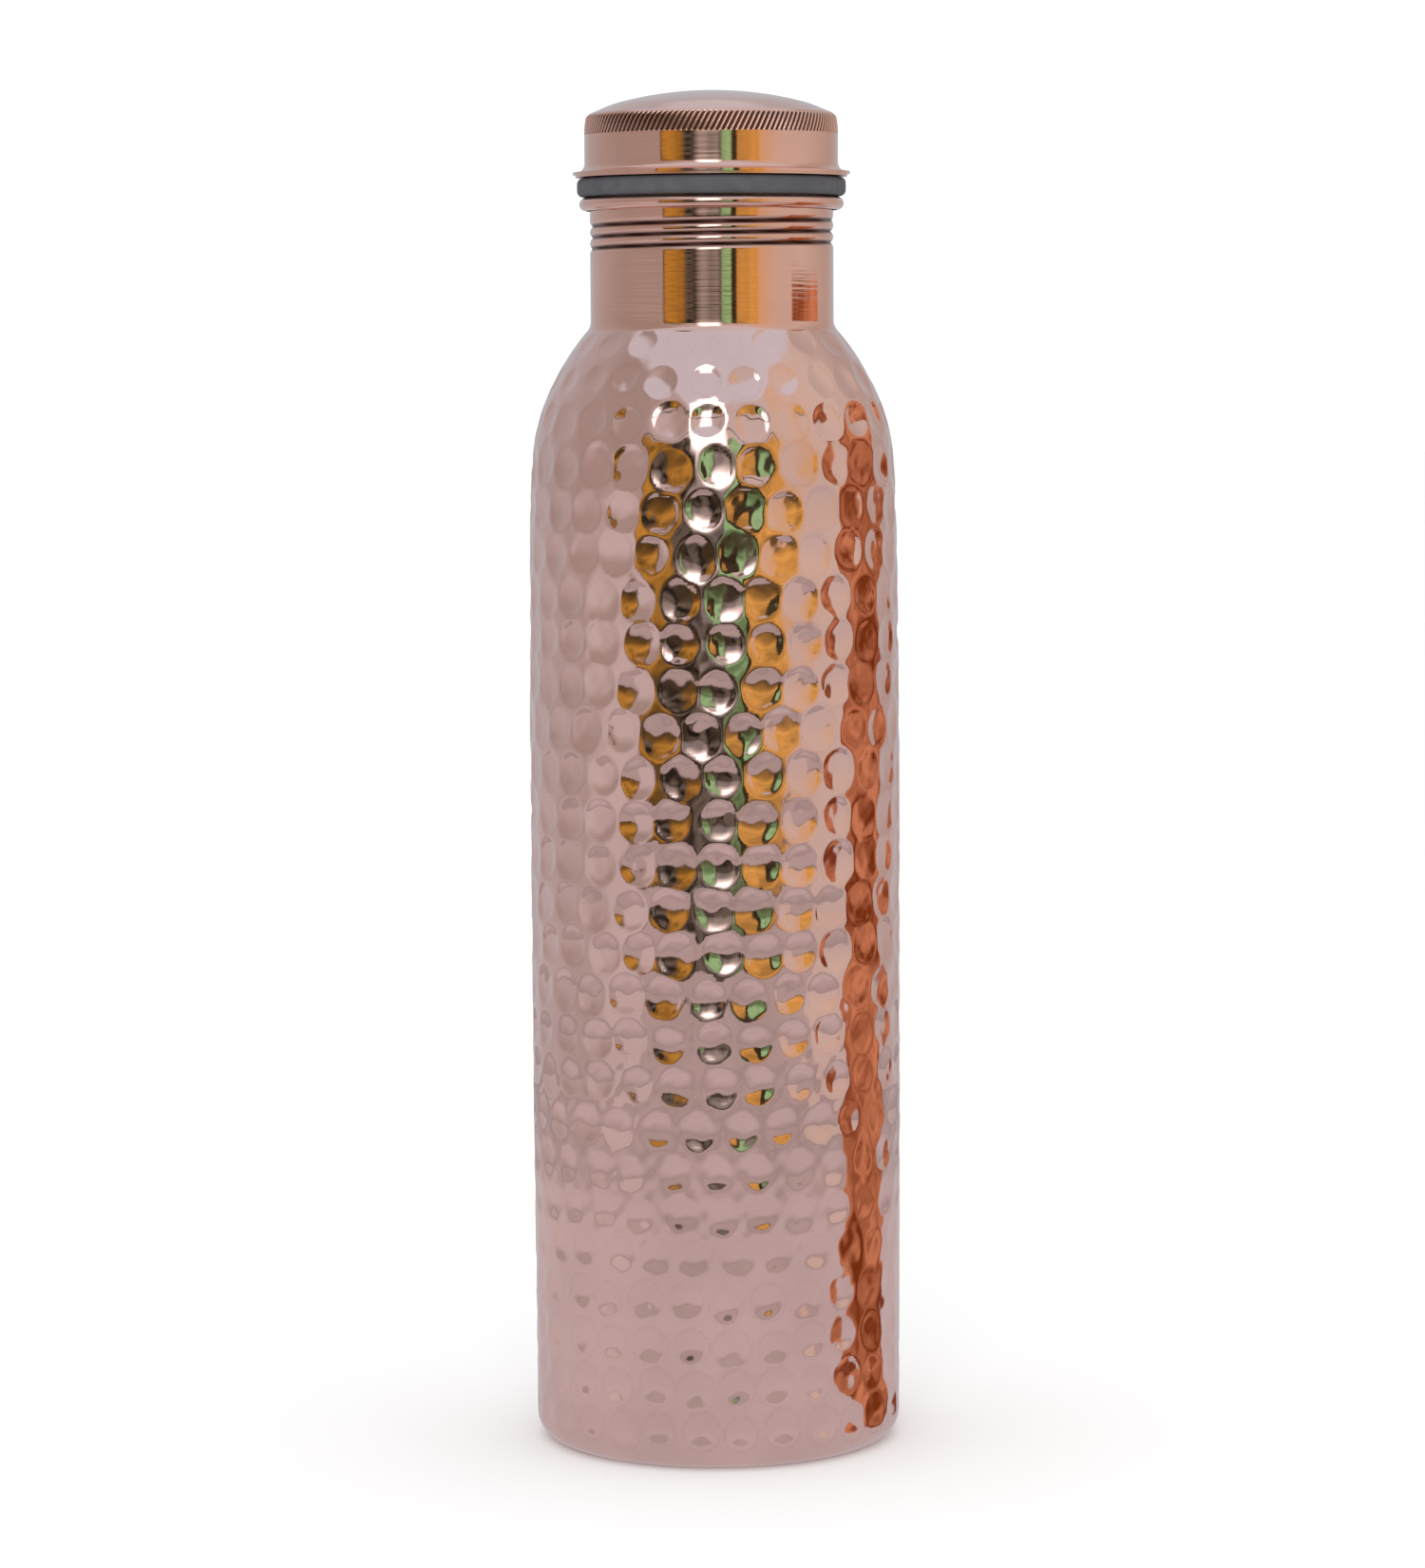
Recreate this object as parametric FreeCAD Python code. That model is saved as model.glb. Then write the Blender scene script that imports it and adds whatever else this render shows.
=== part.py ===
import FreeCAD, Part
import math
import os

# A hammered copper water bottle with a screw cap, in millimetres.
# The axis is +Z, and the origin is the centre of the plane the bottle rests on.
#
# Every piece but the seal is sheet metal. Its section is a path of tangent straights
# and arcs, drawn outwards and upwards along the sheet's outer face. A step of a path
# is (size, turn): with no turn the size is a straight's length, and with a turn it
# is an arc's radius. Turns are in degrees, and are positive to the left.

# Body
BODY_SHEET = 0.5
REST_RING_INNER_R = 27.5
REST_RING_OUTER_R = 31.6
BASE_CORNER_R = 5.25
BARREL_R = 17400.0
BARREL_TURN = 0.41
SHOULDER_STEPS = [
    (3400.0, 0.943),
    (221.0, 3.26),
    (38.9, 20.8),
    (51.8, 16.0),
]
NECK_FILLET_R = 2.9
NECK_R = 24.3
RIM_CURL_R = 1.3
RIM_CURL_TURN = 270.0
MOUTH_Z = 250.2

# Base
BASE_SHEET = 0.6
BASE_RECESS = 3.0
BASE_RIM_R = 31.4
BASE_BEND_R = 1.5
BASE_BEND_TURN = 60.0
BASE_DOME_R = 420.0

# Screw thread, rolled in the sheet: a ridge inside the neck with a groove behind it,
# and a ridge on the plug that runs between the neck's turns
THREAD_PITCH = 2.2
THREAD_DEPTH = 0.6
THREAD_CLEARANCE = 0.22
THREAD_START_ANGLE = 150.0
THREAD_START_Z = 239.87
THREAD_TURNS = 2.65
NECK_RIDGE_CREST = 0.5
NECK_RIDGE_ROOT = 1.1
NECK_GROOVE_FLOOR = 0.3
NECK_GROOVE_MOUTH = 0.9
PLUG_RIDGE_CREST = 0.5
PLUG_RIDGE_ROOT = 1.0
THREAD_OVERLAP = 0.2

# Cap
CAP_SHEET = 0.5
CAP_TOP_Z = 271.4
CAP_DOME_R = 73.0
CAP_EDGE_R = 1.65
CAP_SIDE_R = 25.3
CAP_FLARE_R = 1.8
CAP_LIP_R = 27.66
CAP_LIP_Z = 254.7

# Knurl: slanting strokes rolled into the cap's side, just under its edge
KNURL_STROKES = 142
KNURL_BOTTOM_Z = 262.6
KNURL_TOP_Z = 266.1
KNURL_LEAN = 28.0
KNURL_DEPTH = 0.12

# Plug
PLUG_FLOOR_Z = 238.5
PLUG_CORNER_R = 1.5
PLUG_FLANGE_R = 27.1

# Seal ring
SEAL_TOP_GAP = 0.1
SEAL_RIM_GAP = 0.1
SEAL_OUTER_R = 26.86
SEAL_BORE_GAP = 0.15
SEAL_OUTER_ROUNDING = 1.2
SEAL_INNER_ROUNDING = 0.5

AXIS = FreeCAD.Vector(0, 0, 1)
CENTRE = FreeCAD.Vector(0, 0, 0)


def point(radius, height):
    """A point of the half plane that every section is drawn in."""
    return FreeCAD.Vector(radius, 0, height)


def trace(start, heading, steps, offset=0.0):
    """Edges of a path of tangent steps, moved to the left of its travel by offset."""
    angle = math.radians(heading)
    place = point(start[0] - offset * math.sin(angle), start[1] + offset * math.cos(angle))
    edges = []
    for size, turn in steps:
        if turn == 0:
            after = place + point(math.cos(angle), math.sin(angle)) * size
            edges.append(Part.makeLine(place, after))
        else:
            side = math.copysign(1.0, turn)
            radius = side * (size - side * offset)
            centre = place + point(-math.sin(angle), math.cos(angle)) * radius
            half = angle + math.radians(turn) / 2
            angle += math.radians(turn)
            middle = centre - point(-math.sin(half), math.cos(half)) * radius
            after = centre - point(-math.sin(angle), math.cos(angle)) * radius
            edges.append(Part.Arc(place, middle, after).toShape())
        place = after
    return edges


def ends(edges):
    """The first and the last point of a traced path."""
    first = edges[0].valueAt(edges[0].FirstParameter)
    last = edges[-1].valueAt(edges[-1].LastParameter)
    return first, last


def turned_sheet(start, heading, steps, thickness):
    """A sheet of revolution whose section lies to the left of a traced path."""
    near = trace(start, heading, steps)
    far = trace(start, heading, steps, thickness)
    near_start, near_end = ends(near)
    far_start, far_end = ends(far)
    closing = [Part.makeLine(near_start, far_start), Part.makeLine(near_end, far_end)]
    wire = Part.Wire(Part.__sortEdges__(near + far + closing))
    return Part.Face(wire).revolve(CENTRE, AXIS, 360)


def end_of(start, heading, steps):
    """Where a path of steps ends, as (radius, height)."""
    last = ends(trace(start, heading, steps))[1]
    return last.x, last.z


def helical_bar(start_z, start_angle, turns, root, crest):
    """A right-hand screw bar; root and crest are each a (radius, axial width) pair."""
    root_r, root_width = root
    crest_r, crest_width = crest
    corners = [
        point(root_r, -root_width / 2),
        point(crest_r, -crest_width / 2),
        point(crest_r, crest_width / 2),
        point(root_r, root_width / 2),
    ]
    section = Part.makePolygon(corners + corners[:1])
    helix = Part.makeHelix(THREAD_PITCH, THREAD_PITCH * turns, root_r)
    bar = Part.Wire(helix.Edges).makePipeShell([section], True, True)
    bar.rotate(CENTRE, AXIS, start_angle)
    bar.translate(AXIS * start_z)
    return bar


def body_shell():
    """Resting flange, barrel, shoulder, neck with its thread, and curled rim."""
    start = (REST_RING_INNER_R, 0)
    rising = [
        (REST_RING_OUTER_R - REST_RING_INNER_R, 0),
        (BASE_CORNER_R, 90 - BARREL_TURN),
        (BARREL_R, BARREL_TURN),
    ] + SHOULDER_STEPS
    lean = sum(turn for _, turn in SHOULDER_STEPS)
    fillet = (NECK_FILLET_R, -lean)
    # The last shoulder arc runs on, as a straight, until its fillet meets the neck's radius.
    shoulder_r, _ = end_of(start, 0, rising)
    fillet_width = NECK_FILLET_R * (1 - math.cos(math.radians(lean)))
    straight = (shoulder_r - fillet_width - NECK_R) / math.sin(math.radians(lean))
    rising += [(straight, 0), fillet]
    _, neck_foot_z = end_of(start, 0, rising)
    neck_length = MOUTH_Z - RIM_CURL_R - neck_foot_z
    curl = (RIM_CURL_R - BODY_SHEET, -RIM_CURL_TURN)
    shell = turned_sheet(start, 0, rising + [(neck_length, 0), curl], BODY_SHEET)

    wall_r = NECK_R - BODY_SHEET
    ridge = helical_bar(
        THREAD_START_Z,
        THREAD_START_ANGLE,
        THREAD_TURNS,
        (wall_r + THREAD_OVERLAP, NECK_RIDGE_ROOT),
        (wall_r - THREAD_DEPTH, NECK_RIDGE_CREST),
    )
    groove = helical_bar(
        THREAD_START_Z,
        THREAD_START_ANGLE,
        THREAD_TURNS,
        (NECK_R + THREAD_OVERLAP, NECK_GROOVE_MOUTH),
        (NECK_R - THREAD_DEPTH, NECK_GROOVE_FLOOR),
    )
    return shell.fuse(ridge).cut(groove)


def base_disc():
    """Pressed bottom: a rim brazed onto the shell's flange, and a recessed, domed middle."""
    rise = BASE_RECESS - BODY_SHEET
    bends = 2 * BASE_BEND_R * (1 - math.cos(math.radians(BASE_BEND_TURN)))
    slope = (rise - bends) / math.sin(math.radians(BASE_BEND_TURN))
    # The path runs inwards from the rim, so its left is the disc's lower face.
    step_width = 2 * BASE_BEND_R * math.sin(math.radians(BASE_BEND_TURN))
    step_width += slope * math.cos(math.radians(BASE_BEND_TURN))
    dome_edge_r = REST_RING_INNER_R - step_width
    dome_turn = math.degrees(math.asin(dome_edge_r / BASE_DOME_R))
    steps = [
        (BASE_RIM_R - REST_RING_INNER_R, 0),
        (BASE_BEND_R, -BASE_BEND_TURN),
        (slope, 0),
        (BASE_BEND_R, BASE_BEND_TURN - dome_turn),
        (BASE_DOME_R, dome_turn),
    ]
    return turned_sheet((BASE_RIM_R, BODY_SHEET + BASE_SHEET), 180, steps, BASE_SHEET)


def knurl_stroke(turn):
    """One stroke of the knurl: a thin slanting bar that cuts into the cap's side."""
    height = KNURL_TOP_Z - KNURL_BOTTOM_Z
    width = 2 * math.pi * CAP_SIDE_R / KNURL_STROKES / 2
    length = height / math.cos(math.radians(KNURL_LEAN)) + width
    bar = Part.makeBox(2 * KNURL_DEPTH, width, length)
    bar.translate(FreeCAD.Vector(CAP_SIDE_R - KNURL_DEPTH, -width / 2, -length / 2))
    bar.rotate(CENTRE, FreeCAD.Vector(1, 0, 0), -KNURL_LEAN)
    bar.translate(AXIS * (KNURL_BOTTOM_Z + KNURL_TOP_Z) / 2)
    bar.rotate(CENTRE, AXIS, turn)
    return bar


def cap_shell():
    """Flared lip, plain side, rounded edge and shallow dome, with the knurl band."""
    # The dome and the edge's arc touch where both centres are in line.
    dome_turn = math.asin((CAP_SIDE_R - CAP_EDGE_R) / (CAP_DOME_R - CAP_EDGE_R))
    edge_centre_z = CAP_TOP_Z - CAP_DOME_R + (CAP_DOME_R - CAP_EDGE_R) * math.cos(dome_turn)
    side_length = edge_centre_z - CAP_LIP_Z - CAP_SHEET - CAP_FLARE_R
    # The path runs inwards along the lip's lower face and up inside the cap, so that
    # the sheet is to its right; a negative thickness puts it there.
    steps = [
        (CAP_LIP_R - CAP_SIDE_R - CAP_FLARE_R, 0),
        (CAP_FLARE_R + CAP_SHEET, -90),
        (side_length, 0),
        (CAP_EDGE_R - CAP_SHEET, 90 - math.degrees(dome_turn)),
        (CAP_DOME_R - CAP_SHEET, math.degrees(dome_turn)),
    ]
    shell = turned_sheet((CAP_LIP_R, CAP_LIP_Z), 180, steps, -CAP_SHEET)
    strokes = [knurl_stroke(360 * index / KNURL_STROKES) for index in range(KNURL_STROKES)]
    return shell.cut(strokes)


def cap_plug():
    """Flange under the cap's lip, threaded wall, and closed floor."""
    wall_r = plug_wall_r()
    steps = [
        (wall_r - PLUG_CORNER_R, 0),
        (PLUG_CORNER_R, 90),
        (CAP_LIP_Z - CAP_SHEET - PLUG_FLOOR_Z - PLUG_CORNER_R, 0),
    ]
    cup = turned_sheet((0, PLUG_FLOOR_Z), 0, steps, CAP_SHEET)
    flange = Part.makeCylinder(PLUG_FLANGE_R, CAP_SHEET, AXIS * (CAP_LIP_Z - CAP_SHEET))
    bore = Part.makeCylinder(wall_r - CAP_SHEET, CAP_SHEET, AXIS * (CAP_LIP_Z - CAP_SHEET))
    ridge = helical_bar(
        THREAD_START_Z + THREAD_PITCH / 2,
        THREAD_START_ANGLE,
        THREAD_TURNS,
        (wall_r - THREAD_OVERLAP, PLUG_RIDGE_ROOT),
        (NECK_R - BODY_SHEET - THREAD_CLEARANCE, PLUG_RIDGE_CREST),
    )
    return cup.fuse([flange.cut(bore), ridge])


def plug_wall_r():
    """The plug's wall clears the crest of the neck's thread."""
    return NECK_R - BODY_SHEET - THREAD_DEPTH - THREAD_CLEARANCE


def seal_ring():
    """A moulded ring round the plug's root, between the plug's flange and the rim."""
    bore_r = plug_wall_r() + SEAL_BORE_GAP
    bottom_z = MOUTH_Z + SEAL_RIM_GAP
    height = CAP_LIP_Z - CAP_SHEET - SEAL_TOP_GAP - bottom_z
    straight = height - 2 * SEAL_OUTER_ROUNDING
    inner_straight = height - 2 * SEAL_INNER_ROUNDING
    width = SEAL_OUTER_R - bore_r - SEAL_OUTER_ROUNDING - SEAL_INNER_ROUNDING
    steps = [
        (width, 0),
        (SEAL_OUTER_ROUNDING, 90),
        (straight, 0),
        (SEAL_OUTER_ROUNDING, 90),
        (width, 0),
        (SEAL_INNER_ROUNDING, 90),
        (inner_straight, 0),
        (SEAL_INNER_ROUNDING, 90),
    ]
    section = Part.Wire(trace((bore_r + SEAL_INNER_ROUNDING, bottom_z), 0, steps))
    return Part.Face(section).revolve(CENTRE, AXIS, 360)


PIECES = [body_shell, base_disc, cap_shell, cap_plug, seal_ring]


def main():
    os.makedirs("parts", exist_ok=True)
    for make_piece in PIECES:
        shape = make_piece()
        shape.exportStep("parts/" + make_piece.__name__ + ".step")
        box = shape.optimalBoundingBox()
        print(make_piece.__name__, shape.isValid(), len(shape.Solids), round(shape.Volume, 1),
              "z", round(box.ZMin, 3), round(box.ZMax, 3), "r", round(box.XMax, 3))


main()
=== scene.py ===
import math
import random
from collections import namedtuple

import bpy
import numpy as np
from mathutils import Matrix, Vector


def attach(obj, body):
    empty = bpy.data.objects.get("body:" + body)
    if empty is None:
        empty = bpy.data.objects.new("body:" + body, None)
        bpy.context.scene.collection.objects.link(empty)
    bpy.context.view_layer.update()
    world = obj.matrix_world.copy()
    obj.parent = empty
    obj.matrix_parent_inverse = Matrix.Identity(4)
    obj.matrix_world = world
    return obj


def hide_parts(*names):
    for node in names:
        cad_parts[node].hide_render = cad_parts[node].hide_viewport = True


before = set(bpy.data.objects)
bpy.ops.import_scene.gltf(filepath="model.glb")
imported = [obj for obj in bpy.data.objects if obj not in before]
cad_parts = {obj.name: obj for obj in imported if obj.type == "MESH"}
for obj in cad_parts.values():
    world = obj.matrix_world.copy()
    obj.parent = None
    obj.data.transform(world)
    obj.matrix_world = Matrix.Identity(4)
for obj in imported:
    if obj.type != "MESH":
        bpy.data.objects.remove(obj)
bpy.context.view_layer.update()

# A hammered copper water bottle. The bottle's lengths are in millimetres until a mesh is
# made, the studio's are in metres, and angles are in degrees. The origin is the centre of
# the plane that the bottle rests on.
# An outline is a path of tangent straights and arcs along one face of a sheet, walked with
# the sheet on the left. A step is (size, turn): a straight's length with no turn, else an
# arc's radius and how far it turns to the left.
MM = 0.001
SHARP_ANGLE = 50.0

# Body outline
BODY_SHEET = 0.5
REST_RING_INNER_R = 27.5
REST_RING_OUTER_R = 31.6
BASE_CORNER_R = 5.25
BODY_STEPS = [
    (REST_RING_OUTER_R - REST_RING_INNER_R, 0),
    (BASE_CORNER_R, 89.59),
    (17400.0, 0.41),
    (3400.0, 0.943),
    (221.0, 3.26),
    (38.9, 20.8),
    (51.8, 16.0),
]
SHOULDER_LEAN = 41.003
NECK_R = 24.3
NECK_FILLET_R = 2.9
RIM_CURL_R = 1.3
RIM_CURL_TURN = 270.0
MOUTH_Z = 250.2

# Rows of hammer marks, from the base up. A row's offset is its shift round the bottle, as
# a share of a mark's width.
ROW_OFFSETS = (
    -0.40, 0.42, 0.33, 0.25, -0.50, 0.08, -0.06, -0.45, 0.03, -0.10, -0.25, 0.12, -0.10, 0.09,
    0.05, 0.20, -0.33, 0.10, 0.22, 0.16, -0.45, -0.28, 0.07, -0.05, -0.22, 0.34,
)
MARK_ROW_PITCH = 8.63
MARK_FIRST_Z = 7.6
MARK_WIDTH = 8.37

# Shape of a hammer mark, before its own small differences
MARK_RADIUS = 4.35
MARK_STRETCH = 1.06
MARK_DEPTH = 0.57
MARK_LEAN = 0.03
MARK_RIM = 0.18
MARK_ROUNDING = 0.03
MARK_REACH = 1.15
# How dark the painted shade along the rims of the hammer marks is
RIM_PAINTED_SHADE = 0.12

# How the marks change with height, as (height, value) stops with straight lines between.
# Chance is how far a mark may differ from its neighbours. Skew moves the deepest point of
# a mark down or up, and power takes its bowl from a cone (1) to a round one (2).
MARK_SPREAD = ((34, 0.92), (45, 0.80), (70, 0.80), (108, 1.0), (201, 1.0), (212, 0.80))
MARK_STRENGTH_LOW = ((8, 0.90), (34, 0.69), (45, 0.46), (60, 0.48), (105, 1.0))
MARK_STRENGTH_HIGH = ((190, 1.0), (203, 1.3), (212, 0.95), (224, 0.55))
MARK_CHANCE = ((34, 0.3), (60, 1.0))
MARK_SKEW = ((40, 0.0), (60, 0.4), (196, 0.4), (207, -0.1))
MARK_POWER = ((34, 1.15), (43, 1.4), (75, 2.0))
MARK_SEED = 7

# Slight waviness of the whole hammered face; it fades out over these lengths at both ends
WAVES = 10
WAVE_HEIGHT = 0.008
WAVES_ROUND = (24, 64)
WAVES_SLANT = 1.6
WAVES_FADE_LOW = (8.0, 20.0)
WAVES_FADE_HIGH = (12.0, 2.0)
WAVE_SEED = 11

# Screw thread
THREAD_PITCH = 2.2
THREAD_DEPTH = 0.6
THREAD_CLEARANCE = 0.22
THREAD_START_ANGLE = 150.0
THREAD_START_Z = 239.87
THREAD_TURNS = 2.65
THREAD_RUN_OUT = 40.0
THREAD_MARGIN = 1.2
# Width and sharpness of the groove outside the neck, and of the ridges inside it and on the plug
NECK_GROOVE = (1.1, 2.0)
NECK_RIDGE = (1.2, 1.6)
PLUG_RIDGE = (0.7, 1.0)

# Painted shade in a groove: how fast it grows with depth, how much is taken off it, and its limit
THREAD_PAINTED_SHADE = (2.4, 0.35, 0.95)
KNURL_PAINTED_SHADE = (2.2, 0.5, 1.0)

# Cap
CAP_SHEET = 0.5
CAP_TOP_Z = 271.4
CAP_DOME_R = 73.0
CAP_EDGE_R = 1.65
CAP_SIDE_R = 25.3
CAP_FLARE_R = 1.8
CAP_LIP_R = 27.66
CAP_LIP_Z = 254.7
KNURL_STROKES = 142
KNURL_BOTTOM_Z = 262.6
KNURL_TOP_Z = 266.8
KNURL_FADE_LOW = 0.15
KNURL_FADE_HIGH = 0.5
KNURL_LEAN = 28.0
KNURL_DEPTH = 0.30
KNURL_LEAN_IN = 0.45
KNURL_LEAN_FADE = 7.0
# A stroke's section: a cosine about a level, cut off at its crest and at its bottom
KNURL_LEVEL = 0.6
KNURL_SWING = 0.85
# How far the finely meshed band, its lining and the dome start or end from the knurl's edges
KNURL_MARGIN = 0.1
KNURL_LINING_MARGIN = 0.6
KNURL_OVERRUN = 0.8
DOME_MARGIN = 1.0
# The first rings of the cap's lip, close together at its edge
LIP_EDGE_WAYS = (0.0, 0.12, 0.56)

# Plug
PLUG_FLOOR_Z = 238.5
PLUG_CORNER_R = 1.5
PLUG_BEND_R = 0.3
PLUG_BEND_LENGTH = 0.47
PLUG_PLAIN_WALL = 4.5
PLUG_FLANGE_R = 27.1
PLUG_WALL_R = NECK_R - BODY_SHEET - THREAD_DEPTH - THREAD_CLEARANCE

# Seal
SEAL_GAP = 0.1
SEAL_BORE_GAP = 0.15
SEAL_OUTER_R = 26.86
SEAL_OUTER_ROUNDING = 1.2
SEAL_INNER_ROUNDING = 0.5
PARTING_LINE_HEIGHT = 0.04
PARTING_LINE_WIDTH = 0.25

# Base
BASE_SHEET = 0.6
BASE_RIM_R = 31.4
BASE_DOME_R = 420.0
BASE_FLAT = 3.9
BASE_BEND_R = 1.5
BASE_BEND_TURN = 60.0
BASE_STEPS = [
    (BASE_FLAT, 0),
    (BASE_BEND_R, -BASE_BEND_TURN),
    (1.155, 0),
    (BASE_BEND_R, 56.92),
]
BASE_BENDS_END = 8.2

# Fineness of the meshes: columns round the axis, columns in a stroke of the knurl, and
# steps along an outline
BODY_COLUMNS = 392
BODY_STEP = 0.62
LINING_COLUMNS = 196
LINING_STEP = 1.6
FOLD_STEP = 0.3
NECK_COLUMNS = 288
NECK_STEP = 1.5
THREAD_STEP = 0.14
RIM_FOOT_STEP = 0.6
CURL_STEP = 0.16
BEND_STEP = 0.25
BASE_COLUMNS = 144
BASE_FLAT_STEP = 1.3
BASE_DOME_STEP = 1.0
KNURL_FINENESS = 8
KNURL_STEP = 0.16
KNURL_LINING_STEP = 0.5
FLARE_STEP = 0.2
DOME_STEP = 0.8
PLUG_FLOOR_STEP = 2.0
PLUG_THREAD_STEP = 0.16
PLUG_WALL_STEP = 0.8
PLUG_BEND_STEP = 0.12
PLUG_FLANGE_STEP = 1.0
SEAL_COLUMNS = 192
SEAL_STEP = 0.2

# Colours: copper seen head on, polished, and paler and pinker on the hammered body; a dark colour for
# painted shade; and silicone
COPPER = (0.93, 0.60, 0.50)
HAMMERED_COPPER = (0.93, 0.66, 0.60)
# This dark colour is shade painted into the grooves and along the rims of the hammer marks
PAINTED_SHADE = (0.065, 0.02, 0.013)
SILICONE_DARK = (0.066, 0.067, 0.075)
SILICONE_LIGHT = (0.085, 0.085, 0.095)

# Camera: its place, how far it looks down, its roll, and its lens and sensor in millimetres
CAMERA_PLACE = (-0.00049, -0.9861, 0.2238)
CAMERA_TILT = 5.28
CAMERA_ROLL = -0.344
CAMERA_LENS = 112.71
CAMERA_SENSOR = 36.0

# Floor and light; the soft box has a place and a point that it is aimed at
FLOOR_REACH = 8.0
FLOOR_WHITE = (0.92, 0.92, 0.92)
EVEN_LIGHT = 1.08
SOFT_BOX_PLACE = (-0.1, -2.2, 1.15)
SOFT_BOX_AIM = (0.0, 0.0, 0.15)
SOFT_BOX_SIZE = (1.1, 1.0)
SOFT_BOX_ENERGY = 14.0

# The pale tent that only the metal sees: its floor, the sill under its opening, what lies
# beyond the opening, and the panels beside it
TENT_RADIUS = 0.487
TENT_FLOOR_Z = 0.00002
TENT_BRIGHT = (0.54, 0.50, 0.52)
TENT_MIDDLE = (0.47, 0.43, 0.44)
TENT_DIM = (0.36, 0.32, 0.33)
TENT_ROOF = (0.62, 0.66, 0.74)
SILL_START = -52
SILL_END = 56
SILL_STEP = 6
SILL_HEIGHT = 0.042
SILL_RISE = 0.03
SILL_RISE_AZIMUTH = 42
SILL_EDGE = 0.005
BEYOND = 3.0
BEYOND_LOW = -1.2
BEYOND_HIGH = 1.30
BEYOND_EDGE = 0.07
DUSK_DISTANCE = BEYOND * 0.97
DUSK_WIDTH = 15
DUSK_TOPS = ((-46, 0.20), (-31, 0.20), (-16, 0.14), (-1, 0.06), (14, 0.06), (29, 0.04))
GLOW_TOP = BEYOND_HIGH + 0.3
WINDOW_DISTANCE = BEYOND * 0.95
PANEL_TOP = 0.24
TERRACOTTA_DISTANCE = 0.1
TERRACOTTA_FOOT_DISTANCE = 0.055
TERRACOTTA_FOOT_Z = 0.0008
TERRACOTTA_AZIMUTHS = (72, 107)
TERRACOTTA_TOP = 0.2335

# The tent's walls, as (azimuth, colour) stops; an azimuth is counted from the camera's side
# and is positive to the right
TENT_WALLS = [
    (-90, (0.385, 0.34, 0.325)),
    (-50, (0.39, 0.34, 0.32)),
    (-20, (0.56, 0.52, 0.53)),
    (38, (0.60, 0.55, 0.53)),
    (48, (0.66, 0.50, 0.35)),
    (62, (0.64, 0.54, 0.47)),
    (95, (0.62, 0.56, 0.51)),
    (135, (0.47, 0.40, 0.37)),
    (180, (0.50, 0.53, 0.58)),
    (230, (0.45, 0.43, 0.44)),
    (269, (0.385, 0.34, 0.325)),
]


# ---------------------------------------------------------------- outlines

def walk(start, heading, steps):
    """The spans of a path, each as (way so far, r, z, angle, curvature), and its length."""
    r, z = start
    angle = math.radians(heading)
    way = 0.0
    spans = []
    for size, turn in steps:
        bend = math.radians(turn)
        run = size * abs(bend) if turn else size
        curvature = bend / run
        spans.append((way, r, z, angle, curvature))
        r, z, angle = step_on(r, z, angle, curvature, run)
        way += run
    return np.array(spans), way


def step_on(r, z, angle, curvature, run):
    """Where a straight or an arc gets to after a run."""
    bent = np.abs(curvature) > 1e-12
    safe = np.where(bent, curvature, 1.0)
    after = angle + curvature * run
    r_on = np.where(bent, (np.sin(after) - np.sin(angle)) / safe, np.cos(angle) * run)
    z_on = np.where(bent, (np.cos(angle) - np.cos(after)) / safe, np.sin(angle) * run)
    return r + r_on, z + z_on, after


def on_path(path, way):
    """Radius, height and heading (in radians) at each way along a path."""
    spans, _ = path
    way = np.asarray(way, dtype=float)
    index = np.clip(np.searchsorted(spans[:, 0], way, side="right") - 1, 0, len(spans) - 1)
    begin, r, z, angle, curvature = spans[index].T
    return step_on(r, z, angle, curvature, way - begin)


def span_starts(path):
    """How far along a path each of its straights and arcs starts."""
    spans, _ = path
    return spans[:, 0]


def columns_round(columns):
    """The angles, in radians, of the columns of a ring."""
    return np.arange(columns) * 2 * math.pi / columns


def ring(path, way, columns, lift=0.0):
    """Points round the axis at one way along a path; lift is to the right of travel."""
    r, z, angle = on_path(path, way)
    theta = columns_round(columns)
    out = r + lift * np.sin(angle)
    up = z - lift * np.cos(angle) + np.zeros(columns)
    return np.stack([out * np.cos(theta), out * np.sin(theta), up], axis=1)


def spaced(low, high, step):
    """Evenly spaced values from low to high, about one step apart."""
    return np.linspace(low, high, max(2, round(abs(high - low) / step) + 1))


# ---------------------------------------------------------------- meshes

def bridge(a, b):
    """Faces between two rings of vertex numbers; one count divides the other."""
    if len(a) == len(b):
        return list(zip(a, np.roll(a, -1), np.roll(b, -1), b))
    if len(a) < len(b):
        return [tuple(reversed(face)) for face in bridge(b, a)]
    ratio = len(a) // len(b)
    turn_over = (ratio + 1) // 2
    faces = []
    for k in range(len(b)):
        near, far = b[k], b[(k + 1) % len(b)]
        for m in range(ratio):
            first = a[k * ratio + m]
            second = a[(k * ratio + m + 1) % len(a)]
            faces.append((first, second, near if m < turn_over else far))
        faces.append((a[(k * ratio + turn_over) % len(a)], far, near))
    return faces


def faces_between(a, b):
    """Faces between two rings of vertex numbers, either of which may be a single point."""
    if len(a) == 1 and len(b) == 1:
        return []
    if len(a) == 1:
        return [(a[0], b[(k + 1) % len(b)], b[k]) for k in range(len(b))]
    if len(b) == 1:
        return [(a[k], a[(k + 1) % len(a)], b[0]) for k in range(len(a))]
    return bridge(a, b)


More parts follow.
